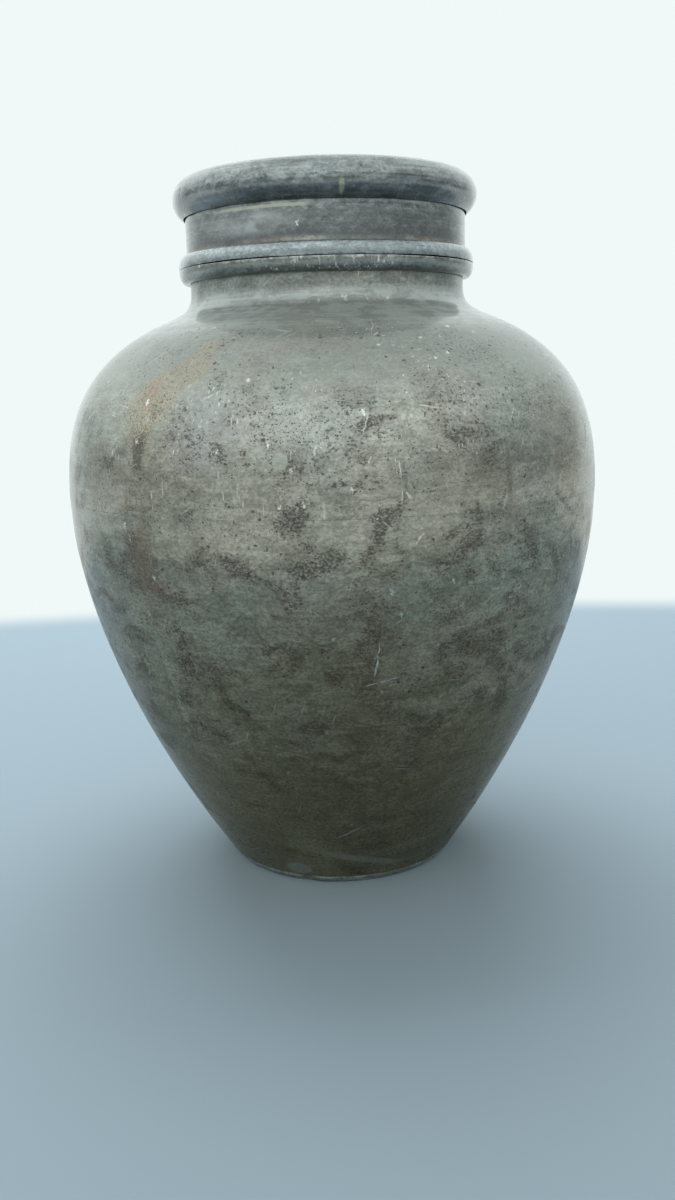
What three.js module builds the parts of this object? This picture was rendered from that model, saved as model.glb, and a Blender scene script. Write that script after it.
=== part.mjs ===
// Turned tin tea jar with an outer cap lid and an inner plug lid.
// Millimetres, +Z up. The origin is the centre of the foot, on the surface the jar stands on.

import * as THREE from 'three';

// Jar body
const footRadius = 39.2;
const footHeight = 2.8; // rim of the base plate that shows under the body
const footFlare = 1.0; // the rim leans out by this much
const footEdge = 0.8; // worn lower edge of the rim
const bodyStep = 0.4; // the body stands proud of the rim
const bellyRadius = 87.8;
const bellyHeight = 128;
const neckHeight = 191.6; // where the neck stands straight
const neckLength = 3.6;
const bodyWall = 3.0;

// Shape of the body's outline
const footLean = THREE.MathUtils.degToRad(33.5); // from upright, at the foot
const footSweep = 46; // how far that lean carries up
const bellySweepDown = 38.5; // how far the belly stays upright, downwards
const bellySweepUp = 26.5; // and upwards
const shoulderSlope = THREE.MathUtils.degToRad(21.3); // from level, at the neck
const shoulderSweep = 34;
const neckFillet = 7;

// Base plate
const baseFloor = 3.6;
const baseRecess = 1.0; // the underside is turned hollow inside the foot ring
const footRingWidth = 5.5;

// Soldered joints
const seatGap = 0.3; // radial clearance of every fitted shoulder
const lapHeight = 3.0; // tongue of the belly joint

// Neck flange and mouth collar
const flangeHeight = 4.3;
const flangeTaper = 2.2; // its lower edge is drawn in by this much
const flangeCrown = 3.7; // and the curve there is this tall
const mouthRadius = 40;
const collarWall = 3.0;
const collarShoulder = 1.8; // the collar is set in by this much on top of the neck
const collarHeight = 15.8; // above the neck
const collarEdge = 0.5;
const spigotLength = 4;

// Outer lid
const slideGap = 0.3; // the lid slides on the collar with this clearance
const bandWall = 2.2;
const lidHeight = 28.0;
const lipOverhang = 2.7; // the lip ring stands out from the band
const lipHeight = 4.6;
const lipCrown = 4.1; // height of the ring's curve from its rim to the band
const lipFloor = 2.5; // the band is let into the ring above this floor
const beadOverhang = 3.9; // the bead stands out from the band
const beadSection = 6.5; // radius of the bead's round section
const beadFloor = 9.0; // from the top of the lid down to the end of the band
const plateThickness = 2.4;
const plateDrop = 1.6; // the plate's edge lies below the bead's crest
const plateDome = 0.9;
const plateInset = 7.0; // from the outside of the band
const ledgeWidth = 2.6;
const ledgeThickness = 1.6;

// Inner lid
const innerPlateThickness = 2.0;
const innerPlateEdge = 0.6;
const skirtLength = 8;
const skirtWall = 2.0;
const tenonRadius = 2.0;
const knobFootRadius = 5;
const knobNeckRadius = 3.2;
const knobRadius = 7.5;
const knobHeight = 8;
const knobNeckHeight = 2.6;
const knobRim = 1.1; // radius of the button's rounded edge

// Facets
const bodyFacets = 56;
const knobFacets = 28;
const longCurveSteps = 9;
const shortCurveSteps = 4;
const beadSteps = 8;
const beadCrestSteps = 2;

// Heights and radii that follow from the sizes above
const neckTop = neckHeight + neckLength;
const seam = neckTop + flangeHeight;
const lidTop = seam + lidHeight;
const collarTop = neckTop + collarHeight;
const collarRadius = mouthRadius + collarWall;
const lidBore = collarRadius + slideGap;
const bandRadius = lidBore + bandWall;
const lipRadius = bandRadius + lipOverhang;
const neckRadius = collarRadius + collarShoulder;
const bandBottom = seam + lipFloor;
const bandTop = lidTop - beadFloor;
const plateBottom = lidTop - plateDrop - plateThickness;
const innerPlateTop = collarTop + innerPlateThickness;
const bodyFootRadius = footRadius + footFlare + bodyStep;
const bellyBore = bellyRadius - bodyWall;

const point = (radius, height) => new THREE.Vector2(radius, height);

function sideCurve(from, fromLean, fromSweep, to, toLean, toSweep) {
  const rise = (lean, sweep) => point(Math.sin(lean) * sweep, Math.cos(lean) * sweep);
  const start = from.clone().add(rise(fromLean, fromSweep));
  const end = to.clone().sub(rise(toLean, toSweep));
  return new THREE.CubicBezierCurve(from, start, end, to);
}

function arc(radius, height, size, fromAngle, toAngle, rise = size) {
  const clockwise = toAngle < fromAngle;
  return new THREE.EllipseCurve(radius, height, size, rise, fromAngle, toAngle, clockwise);
}

// Points of a curve moved to its right-hand side, which is outwards for a curve that climbs.
function offsetPoints(curve, steps, distance) {
  const points = [];
  for (let i = 0; i <= steps; i += 1) {
    const tangent = curve.getTangent(i / steps);
    const right = point(tangent.y, -tangent.x).multiplyScalar(distance);
    points.push(curve.getPoint(i / steps).add(right));
  }
  return points;
}

// The profile runs anticlockwise, up the outside and down the inside.
function turned(name, profile, finish, facets = bodyFacets) {
  const closed = profile[0].x === 0 ? profile : [...profile, profile[0].clone()];
  const geometry = new THREE.LatheGeometry(closed, facets);
  geometry.rotateX(Math.PI / 2);
  const mesh = new THREE.Mesh(geometry, new THREE.MeshStandardMaterial(finish));
  mesh.name = name;
  return mesh;
}

// Outline of the body's lower and upper halves
const lowerCurve = sideCurve(
  point(bodyFootRadius, footHeight), footLean, footSweep,
  point(bellyRadius, bellyHeight), 0, bellySweepDown,
);
const filletCentre = point(neckRadius + neckFillet, neckHeight);
const shoulderEnd = filletCentre.clone().sub(
  point(Math.sin(shoulderSlope), Math.cos(shoulderSlope)).multiplyScalar(neckFillet),
);
const shoulderCurve = sideCurve(
  point(bellyRadius, bellyHeight), 0, bellySweepUp,
  shoulderEnd, shoulderSlope - Math.PI / 2, shoulderSweep,
);
const filletCurve = arc(
  filletCentre.x, filletCentre.y, neckFillet, 1.5 * Math.PI - shoulderSlope, Math.PI,
);
const socketRadius = offsetPoints(lowerCurve, 1, -bodyWall)[0].x;
const lapRadius = bellyRadius - bodyWall / 2;

const darkTin = { color: 0x4d5457, roughness: 0.55, metalness: 0.7 };
const greyTin = { color: 0x6f736d, roughness: 0.55, metalness: 0.7 };
const brownTin = { color: 0x5d5b50, roughness: 0.6, metalness: 0.65 };
const innerTin = { color: 0x8b8d88, roughness: 0.45, metalness: 0.8 };

function basePlate() {
  const spigotRadius = socketRadius - seatGap;
  const ringInside = footRadius - footEdge - footRingWidth;
  return turned('base_plate', [
    point(0, baseRecess),
    point(ringInside, baseRecess),
    point(ringInside + baseRecess, 0),
    point(footRadius - footEdge, 0),
    point(footRadius, footEdge),
    point(footRadius + footFlare, footHeight),
    point(spigotRadius, footHeight),
    point(spigotRadius, baseRecess + baseFloor),
    point(0, baseRecess + baseFloor),
  ], brownTin);
}

function lowerBody() {
  const tongueRadius = lapRadius - seatGap / 2;
  const inside = offsetPoints(lowerCurve, longCurveSteps, -bodyWall).reverse();
  return turned('lower_body', [
    point(socketRadius, footHeight),
    ...lowerCurve.getPoints(longCurveSteps),
    point(tongueRadius, bellyHeight),
    point(tongueRadius, bellyHeight + lapHeight),
    point(bellyBore, bellyHeight + lapHeight),
    ...inside,
  ], brownTin);
}

function upperBody() {
  const recessRadius = lapRadius + seatGap / 2;
  const recessTop = bellyHeight + lapHeight + seatGap;
  const outside = shoulderCurve.getPoints(longCurveSteps);
  const inside = offsetPoints(shoulderCurve, longCurveSteps, -bodyWall);
  const insideFillet = offsetPoints(filletCurve, shortCurveSteps, -bodyWall);
  const aboveRecess = inside.filter((p) => p.y > recessTop);
  return turned('upper_body', [
    point(recessRadius, bellyHeight),
    ...outside,
    ...filletCurve.getPoints(shortCurveSteps).slice(1),
    point(neckRadius, neckTop),
    point(neckRadius - bodyWall, neckTop),
    ...insideFillet.reverse(),
    ...aboveRecess.reverse().slice(1),
    point(bellyBore, recessTop),
    point(recessRadius, recessTop),
  ], greyTin);
}

function neckFlange() {
  const edge = arc(
    lipRadius - flangeTaper, neckTop + flangeCrown, flangeTaper, -Math.PI / 2, 0, flangeCrown,
  );
  return turned('neck_flange', [
    point(collarRadius + seatGap, neckTop),
    ...edge.getPoints(shortCurveSteps),
    point(lipRadius, seam),
    point(collarRadius + seatGap, seam),
  ], greyTin);
}

function mouthCollar() {
  const spigotRadius = neckRadius - bodyWall - seatGap;
  return turned('mouth_collar', [
    point(mouthRadius, neckTop - spigotLength),
    point(spigotRadius, neckTop - spigotLength),
    point(spigotRadius, neckTop),
    point(collarRadius, neckTop),
    point(collarRadius, collarTop - collarEdge),
    point(collarRadius - collarEdge, collarTop),
    point(mouthRadius + collarEdge, collarTop),
    point(mouthRadius, collarTop - collarEdge),
  ], innerTin);
}

function innerLidPlate() {
  const rim = collarRadius - seatGap;
  return turned('inner_lid_plate', [
    point(tenonRadius + seatGap, collarTop),
    point(rim, collarTop),
    point(rim, innerPlateTop - innerPlateEdge),
    point(rim - innerPlateEdge, innerPlateTop),
    point(tenonRadius + seatGap, innerPlateTop),
  ], innerTin);
}

function innerLidSkirt() {
  const skirtRadius = mouthRadius - seatGap;
  const skirtBottom = collarTop - skirtLength;
  return turned('inner_lid_skirt', [
    point(skirtRadius - skirtWall, skirtBottom),
    point(skirtRadius - innerPlateEdge, skirtBottom),
    point(skirtRadius, skirtBottom + innerPlateEdge),
    point(skirtRadius, collarTop),
    point(skirtRadius - skirtWall, collarTop),
  ], innerTin);
}

function innerLidKnob() {
  const buttonBottom = innerPlateTop + knobNeckHeight;
  const neck = new THREE.QuadraticBezierCurve(
    point(knobFootRadius, innerPlateTop),
    point(knobNeckRadius, innerPlateTop),
    point(knobNeckRadius, buttonBottom),
  );
  const rimHeight = innerPlateTop + knobHeight - 2 * knobRim;
  const rim = arc(knobRadius - knobRim, rimHeight, knobRim, -Math.PI / 4, Math.PI / 2);
  const crown = new THREE.QuadraticBezierCurve(
    point(knobRadius - knobRim, rimHeight + knobRim),
    point(knobNeckRadius, innerPlateTop + knobHeight),
    point(0, innerPlateTop + knobHeight),
  );
  return turned('inner_lid_knob', [
    point(0, collarTop),
    point(tenonRadius, collarTop),
    point(tenonRadius, innerPlateTop),
    ...neck.getPoints(shortCurveSteps),
    ...rim.getPoints(shortCurveSteps),
    ...crown.getPoints(shortCurveSteps).slice(1),
  ], innerTin, knobFacets);
}

function lidLipRing() {
  const recessRadius = bandRadius + seatGap;
  const lipTop = seam + lipHeight;
  const edge = arc(
    recessRadius, lipTop - lipCrown, lipRadius - recessRadius, 0, Math.PI / 2, lipCrown,
  );
  return turned('lid_lip_ring', [
    point(lidBore, seam),
    point(lipRadius, seam),
    ...edge.getPoints(shortCurveSteps),
    point(recessRadius, bandBottom),
    point(lidBore, bandBottom),
  ], darkTin);
}

function lidBand() {
  return turned('lid_band', [
    point(lidBore, bandBottom),
    point(bandRadius, bandBottom),
    point(bandRadius, bandTop),
    point(lidBore, bandTop),
  ], darkTin);
}

function lidRimBead() {
  const centreRadius = bandRadius + beadOverhang - beadSection;
  const centreHeight = lidTop - beadSection;
  const edgeRadius = bandRadius + seatGap;
  const rabbetRadius = bandRadius - plateInset + seatGap;
  const lowAngle = -Math.acos((edgeRadius - centreRadius) / beadSection);
  const highAngle = Math.acos((rabbetRadius - centreRadius) / beadSection);
  const outerRound = arc(centreRadius, centreHeight, beadSection, lowAngle, Math.PI / 2);
  const innerRound = arc(centreRadius, centreHeight, beadSection, Math.PI / 2, highAngle);
  return turned('lid_rim_bead', [
    ...outerRound.getPoints(beadSteps),
    ...innerRound.getPoints(beadCrestSteps).slice(1),
    point(rabbetRadius, plateBottom),
    point(rabbetRadius - ledgeWidth, plateBottom),
    point(rabbetRadius - ledgeWidth, plateBottom - ledgeThickness),
    point(lidBore, bandTop),
    point(edgeRadius, bandTop),
  ], darkTin);
}

function lidTopPlate() {
  const plateRadius = bandRadius - plateInset;
  const edgeTop = plateBottom + plateThickness;
  const dome = new THREE.QuadraticBezierCurve(
    point(plateRadius, edgeTop),
    point(plateRadius / 2, edgeTop + plateDome),
    point(0, edgeTop + plateDome),
  );
  return turned('lid_top_plate', [
    point(0, plateBottom),
    point(plateRadius, plateBottom),
    ...dome.getPoints(shortCurveSteps),
  ], darkTin);
}

function jar() {
  const group = new THREE.Group();
  group.add(basePlate(), lowerBody(), upperBody(), neckFlange(), mouthCollar());
  return group;
}

function innerLid() {
  const group = new THREE.Group();
  group.add(innerLidPlate(), innerLidSkirt(), innerLidKnob());
  return group;
}

function outerLid() {
  const group = new THREE.Group();
  group.add(lidLipRing(), lidBand(), lidRimBead(), lidTopPlate());
  return group;
}

const teaJar = new THREE.Group();
teaJar.add(jar(), innerLid(), outerLid());

export default teaJar;
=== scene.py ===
import math

import bpy
import numpy as np
from mathutils import Matrix, Vector


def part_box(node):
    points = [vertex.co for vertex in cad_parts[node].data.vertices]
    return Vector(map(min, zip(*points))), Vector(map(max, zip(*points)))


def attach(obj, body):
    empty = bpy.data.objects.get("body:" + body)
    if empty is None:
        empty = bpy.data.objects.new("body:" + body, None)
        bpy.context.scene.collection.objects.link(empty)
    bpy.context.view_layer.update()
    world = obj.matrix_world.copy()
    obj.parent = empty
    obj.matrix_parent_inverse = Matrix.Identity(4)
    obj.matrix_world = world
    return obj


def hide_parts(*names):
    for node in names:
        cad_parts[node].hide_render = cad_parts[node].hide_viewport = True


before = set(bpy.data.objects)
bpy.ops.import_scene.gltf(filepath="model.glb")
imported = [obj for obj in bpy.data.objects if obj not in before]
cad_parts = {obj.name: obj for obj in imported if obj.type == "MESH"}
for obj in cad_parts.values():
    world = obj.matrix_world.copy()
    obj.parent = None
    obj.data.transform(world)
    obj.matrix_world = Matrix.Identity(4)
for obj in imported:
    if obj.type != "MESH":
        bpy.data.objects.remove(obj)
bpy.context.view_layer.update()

mm = 0.001


def addObject(name, data):
    made = bpy.data.objects.new(name, data)
    bpy.context.scene.collection.objects.link(made)
    return made


# Camera: where the photographer stood, and how the lens frames the jar
shot = {
    "imageHeight": 1200.0,  # pixels of the long side
    "focal": 1100.0,  # in the same pixels
    "distance": 377.8 * mm,
    "height": 167.4 * mm,
    "tilt": 11.89,  # degrees down
    "roll": 1.57,
    "yaw": 0.1,
    "sensor": 36.0,
    "nearest": 10 * mm,
}


def makeCamera():
    tilt, roll, yaw = (math.radians(shot[k]) for k in ("tilt", "roll", "yaw"))
    ahead = Vector((math.sin(yaw) * math.cos(tilt), math.cos(yaw) * math.cos(tilt), -math.sin(tilt)))
    level = Vector((math.cos(yaw), -math.sin(yaw), 0))
    down = ahead.cross(level)
    right = math.cos(roll) * level + math.sin(roll) * down
    below = -math.sin(roll) * level + math.cos(roll) * down
    data = bpy.data.cameras.new("jarCamera")
    data.sensor_fit = "AUTO"
    data.sensor_width = shot["sensor"]
    data.lens = shot["focal"] / shot["imageHeight"] * shot["sensor"]
    data.clip_start = shot["nearest"]
    camera = addObject("jarCamera", data)
    turn = Matrix((right, -below, -ahead)).transposed().to_4x4()
    camera.matrix_world = Matrix.Translation((0, -shot["distance"], shot["height"])) @ turn
    bpy.context.scene.camera = camera
    print("camera stands", round(shot["distance"], 3), "m from the jar")


makeCamera()


# Node helpers: a small vocabulary for wiring materials and groups
class Flow:  # a value on its way through a node tree, whose sums and products become math nodes
    def __init__(self, socket):
        self.socket, self.tree = socket, socket.id_data

    def __add__(self, other):
        return maths("ADD", self, other)

    def __sub__(self, other):
        return maths("SUBTRACT", self, other)

    def __rsub__(self, other):
        return maths("SUBTRACT", other, self)

    def __mul__(self, other):
        return maths("MULTIPLY", self, other)

    def __truediv__(self, other):
        return maths("DIVIDE", self, other)

    def __pow__(self, other):
        return maths("POWER", self, other)

    def __abs__(self):
        return maths("ABSOLUTE", self)


def treeOf(*items):
    return next(item.tree for item in items if isinstance(item, Flow))


def feed(socket, value):
    if isinstance(value, Flow):
        value.tree.links.new(value.socket, socket)
    else:
        socket.default_value = value


def wired(tree, kind, items=(), **settings):  # a new node, with (input, value) pairs fed to it
    made = tree.nodes.new(kind)
    for name, value in settings.items():
        setattr(made, name, value)
    for key, item in items:
        feed(made.inputs[key], item)
    return made


def first(made):
    return Flow(made.outputs[0])


def maths(operation, a, b=0.0, clamp=False):
    made = wired(treeOf(a, b), "ShaderNodeMath", enumerate((a, b)), operation=operation, use_clamp=clamp)
    return first(made)


def larger(a, *others):
    for b in others:
        a = maths("MAXIMUM", a, b)
    return a


def ramp(value, low, high, bottom=0.0, top=1.0):  # eases from bottom at low to top at high
    items = enumerate((value, low, high, bottom, top))
    return first(wired(value.tree, "ShaderNodeMapRange", items, interpolation_type="SMOOTHSTEP"))


def band(value, low, full, fading, high):  # rises from 0 at low, stays at 1 and is gone at high
    return ramp(value, low, full) * ramp(value, high, fading)


def near(gap, full, gone):  # 1 up to full, and 0 from gone on
    return ramp(gap, full, gone, 1.0, 0.0)


def noise(where, scale, detail=4.0, roughness=0.55, distortion=0.0, output=0):
    items = {"Vector": where, "Scale": scale, "Detail": detail, "Roughness": roughness}
    items["Distortion"] = distortion
    return Flow(wired(where.tree, "ShaderNodeTexNoise", items.items()).outputs[output])


def stretch(where, x, y, z, shift=0.0, turn=(0, 0, 0)):
    items = {"Vector": where, "Location": (shift, shift, shift), "Rotation": turn, "Scale": (x, y, z)}
    return first(wired(where.tree, "ShaderNodeMapping", items.items()))


def split(where):
    return [Flow(socket) for socket in wired(where.tree, "ShaderNodeSeparateXYZ", [(0, where)]).outputs]


def length(where):
    return Flow(wired(where.tree, "ShaderNodeVectorMath", [(0, where)], operation="LENGTH").outputs["Value"])


def shaken(where, scale, reach):  # moves every place a little, so that outlines in it turn ragged
    items = enumerate((noise(where, scale, 2.0, 0.5, output="Color"), reach, where))
    return first(wired(where.tree, "ShaderNodeVectorMath", items, operation="MULTIPLY_ADD"))


def cells(where, scale):  # distance to the middle of the nearest cell, and two random numbers of that cell
    items = [("Vector", where), ("Scale", scale)]
    spot = wired(where.tree, "ShaderNodeTexVoronoi", items, feature="F1").outputs
    dice = wired(where.tree, "ShaderNodeSeparateColor", [(0, Flow(spot["Color"]))]).outputs
    return Flow(spot["Distance"]), Flow(dice[0]), Flow(dice[1])


def mix(amount, a, b, mode="MIX"):
    items = ((0, amount), (6, a), (7, b))
    made = wired(treeOf(amount, a, b), "ShaderNodeMix", items, data_type="RGBA", blend_type=mode)
    return Flow(made.outputs[2])


def latheRings(where, along, rings):
    # coordinates that change quickly from ring to ring of the lathe and slowly along a ring
    x, y, z = split(where)
    items = enumerate((length(stretch(where, 1, 1, 0)) * rings, x * along, z * rings))
    return first(wired(where.tree, "ShaderNodeCombineXYZ", items))


def centred(value, reach):  # a 0 to 1 value turned into a shift of up to reach either way
    return (value - 0.5) * (2 * reach)


def calmed(value, share):  # brings a 0 to 1 value nearer its middle
    return (value - 0.5) * share + 0.5


def shade(colour, value, dark, light):  # darkens and lightens a colour by a 0 to 1 value
    level = first(wired(value.tree, "ShaderNodeMapRange", enumerate((value, 0.0, 1.0, dark, light))))
    grey = first(wired(value.tree, "ShaderNodeCombineColor", enumerate((level, level, level))))
    return mix(1.0, colour, grey, "MULTIPLY")


def stops(value, low, high, colours):  # evenly spaced colours, the first at low
    span = first(wired(value.tree, "ShaderNodeMapRange", enumerate((value, low, high))))
    made = wired(value.tree, "ShaderNodeValToRGB", [(0, span)])
    steps = made.color_ramp.elements
    steps[0].color, steps[1].color = colours[0], colours[-1]
    for i in range(1, len(colours) - 1):
        steps.new(i / (len(colours) - 1)).color = colours[i]
    return first(made)


def oval(angle, height, centre, size, soft):
    # a patch at (degrees, metres); soft is the share of its radius that fades out
    across, along = (angle - centre[0]) / size[0], (height - centre[1]) / size[1]
    return near(maths("SQRT", across * across + along * along), 1.0 - soft, 1.0)


def newGroup(name, inputs, outputs):  # inputs with their defaults, where None stands for a vector
    group = bpy.data.node_groups.new(name, "ShaderNodeTree")
    for label, value in inputs.items():
        kind = "NodeSocketVector" if value is None else "NodeSocketFloat"
        socket = group.interface.new_socket(label, in_out="INPUT", socket_type=kind)
        if value is not None:
            socket.default_value = value
    for label in outputs:
        group.interface.new_socket(label, in_out="OUTPUT", socket_type="NodeSocketFloat")
    given = [Flow(socket) for socket in wired(group, "NodeGroupInput").outputs if socket.name in inputs]
    return group, given, wired(group, "NodeGroupOutput").inputs


def place(group, **inputs):
    made = wired(treeOf(*inputs.values()), "ShaderNodeGroup", inputs.items(), node_tree=group)
    return {socket.name: Flow(socket) for socket in made.outputs}


# Effects that several materials share
def aroundGroup():  # angle from the front in degrees, height in metres
    group, (where,), result = newGroup("roundTheJar", {"Vector": None}, ["Angle", "Height"])
    x, y, z = split(where)
    feed(result["Angle"], maths("ARCTAN2", x, y * -1.0) * (180 / math.pi))
    feed(result["Height"], z)
    return group


def tarnishGroup():  # clouds, granular mottling and brushed smears of old tin, each from 0 to 1
    inputs = {"Vector": None, "Size": 20.0, "Grain": 1000.0}
    outputs = ["Clouds", "Mottle", "Grain", "Brushed"]
    group, (where, size, fine), result = newGroup("tarnish", inputs, outputs)
    broad = noise(stretch(where, 1, 1, 1.5), size, 4.0, 0.55, 0.5)
    middle = noise(stretch(where, 1, 1, 1.9, 5.0), size * 6.5, 5.0, 0.62, 0.6)
    small = noise(stretch(where, 1, 1, 1.3, 3.0), fine, 3.0, 0.65)
    brushed = noise(latheRings(where, 30.0, 900.0), 1.0, 4.0, 0.62)
    feed(result["Clouds"], ramp(broad, 0.36, 0.64))
    feed(result["Mottle"], ramp(middle, 0.33, 0.67))
    feed(result["Grain"], ramp(small, 0.33, 0.67))
    feed(result["Brushed"], ramp(brushed, 0.30, 0.70))
    return group


def crumbsGroup():  # fine crumbs of dirt, which thicken from none to a crust as Amount goes from 0 to 1
    inputs = {"Vector": None, "Amount": 0.5, "Scale": 900.0}
    group, (where, amount, scale), result = newGroup("dirtCrumbs", inputs, ["Crumbs"])
    gritty = noise(stretch(where, 1, 1, 1.5, 17.0), scale, 4.0, 0.80)
    feed(result["Crumbs"], ramp(gritty + amount * 0.27, 0.655, 0.725))
    return group


def pitsGroup():  # small dark corrosion pits that gather in clusters
    inputs = {"Vector": None, "Scale": 420.0, "Cluster": 30.0, "Share": 0.6, "Extra": 0.0}
    group, given, result = newGroup("corrosionPits", inputs, ["Pits", "Clusters"])
    where, scale, cluster, share, extra = given
    gap, dice, other = cells(shaken(where, 1300.0, (0.0016, 0.0016, 0.0010)), scale)
    clusters = ramp(noise(where, cluster, 4.0, 0.65, 0.3) + extra, 0.46, 0.68)
    size = ramp(other, 0.0, 1.0, 0.16, 0.46)
    feed(result["Pits"], near(gap, size * 0.4, size) * maths("LESS_THAN", dice, clusters * share))
    feed(result["Clusters"], clusters)
    return group


def nicksGroup():  # little bright chips where the patina is knocked off
    inputs = {"Vector": None, "Scale": 150.0, "Share": 0.05}
    group, (where, scale, share), result = newGroup("brightNicks", inputs, ["Nicks"])
    ragged = shaken(where, 1400.0, (0.0020, 0.0020, 0.0030))
    gap, dice, _ = cells(stretch(ragged, 1.0, 1.0, 0.6, turn=(0.3, 0.5, 0.2)), scale)
    reach = noise(where, 1500.0, 2.0) * (scale * 0.0014)
    feed(result["Nicks"], near(gap, reach * 0.3, reach) * maths("LESS_THAN", dice, share))
    return group


def scratchesGroup():  # thin scratches in slanting directions, seen only here and there
    inputs = {"Vector": None, "Amount": 1.0}
    group, (where, amount), result = newGroup("thinScratches", inputs, ["Scratches"])
    lines = []
    for slant, across, along, shift in ((0.5, 1100, 60, 0.0), (-0.2, 1300, 70, 3.0), (1.25, 1200, 80, 7.0)):
        turned = stretch(where, 1, 1, 1, turn=(slant * 0.3, slant, 0))
        thin = ramp(noise(stretch(turned, along, along, across, shift), 1.0, 1.0, 0.4), 0.70, 0.76)
        lines.append(thin * ramp(noise(turned, 55.0, 2.0), 0.52, 0.64))
    feed(result["Scratches"], larger(*lines) * amount)
    return group


def turningLinesGroup():  # fine rings left by the lathe, which come and go, around 0
    inputs = {"Vector": None, "Fineness": 1.0}
    group, (where, fineness), result = newGroup("turningLines", inputs, ["Lines"])
    fine = noise(latheRings(where, 6.0, fineness * 1300.0), 1.0, 3.0, 0.6)
    patch = ramp(noise(where, 30.0, 2.0), 0.35, 0.7, 0.35, 1.0)
    feed(result["Lines"], (fine - 0.5) * patch)
    return group


roundTheJar = aroundGroup()
tarnish = tarnishGroup()
dirtCrumbs = crumbsGroup()
corrosionPits = pitsGroup()
brightNicks = nicksGroup()
thinScratches = scratchesGroup()
turningLines = turningLinesGroup()
print("shared effects built")


def crumbs(where, amount, scale):
    return place(dirtCrumbs, Vector=where, Amount=amount, Scale=scale)["Crumbs"]


def newMaterial(name):
    material = bpy.data.materials.new(name)
    material.use_nodes = True
    tree = material.node_tree
    tree.nodes.clear()
    shader = wired(tree, "ShaderNodeBsdfPrincipled")
    wired(tree, "ShaderNodeOutputMaterial", [(0, first(shader))])
    return material, shader, Flow(wired(tree, "ShaderNodeTexCoord").outputs["Object"])


def bumpFrom(shader, height, strength, depth):
    items = {"Strength": strength, "Distance": depth, "Height": height}
    feed(shader.inputs["Normal"], first(wired(height.tree, "ShaderNodeBump", items.items())))


# Jar body
degreeWidth = 1.45 * mm  # of wall, at the belly
bodyStrokes = [  # the photo's own scratches and chips: from, to and half width
    ((8.2, 0.0935), (7.7, 0.0800), 0.30 * mm), ((4.6, 0.0788), (13.6, 0.0813), 0.28 * mm),
    ((14.2, 0.1198), (16.3, 0.1240), 0.35 * mm), ((8.8, 0.1270), (10.5, 0.1243), 0.24 * mm),
    ((7.3, 0.1322), (11.4, 0.1328), 0.22 * mm), ((5.8, 0.1500), (6.9, 0.1562), 0.30 * mm),
    ((12.9, 0.1350), (14.2, 0.1326), 0.45 * mm), ((6.2, 0.1426), (7.1, 0.1446), 0.35 * mm),
    ((-18.6, 0.1532), (-18.0, 0.1562), 0.38 * mm), ((-17.6, 0.1528), (-17.2, 0.1550), 0.34 * mm),
    ((-2.9, 0.1448), (-2.6, 0.1482), 0.42 * mm), ((-15.9, 0.1398), (-15.5, 0.1416), 0.40 * mm),
    ((12.2, 0.1812), (10.3, 0.1757), 0.25 * mm), ((-21.2, 0.1455), (-20.7, 0.1470), 0.35 * mm),
]
bodySpots = {  # patches: centre and size in (degrees, metres), and the share of the radius that fades out
    "face": ((2.0, 0.141), (56.0, 0.036), 0.85),  # the rubbed front of the shoulder, with most of the pits and a rosy tone that is partly a painted sheen
    # a lavender tint on the left shoulder, partly its own tint and partly a painted reflection of the light
    "lavenderSheen": ((-24.0, 0.152), (13.0, 0.016), 0.8),
    # a painted highlight on the front of the shoulder
    "paintedHighlight": ((-5.0, 0.154), (17.0, 0.013), 0.9),
    "hot": ((-38.5, 0.161), (3.2, 0.008), 0.8),  # the orange middle of the ochre run
    "disc": ((-9.1, 0.1437), (1.50, 0.0025), 0.15),
    "drip": ((34.3, 0.136), (1.0, 0.015), 0.8),
    "shadow": ((29.0, 0.141), (5.0, 0.010), 0.9),
    "blob": ((-19.8, 0.0062), (6.5, 0.0028), 0.2),
    "flecks": ((4.0, 0.1878), (20.0, 0.0036), 0.7),
}
bodyBands = {  # heights at which an effect sets in, is full, begins to fade and is gone
    "run": (0.139, 0.150, 0.1745, 0.1770),
    "knot": (0.137, 0.143, 0.148, 0.155),
    "trail": (0.095, 0.108, 0.134, 0.145),
    "specks": (0.057, 0.062, 0.090, 0.098),
    "waist": (0.035, 0.075, 0.118, 0.152),
    # where a painted sheen lightens the foot of the neck
    "sweep": (0.1765, 0.1825, 0.1885, 0.1925),
}
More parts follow.
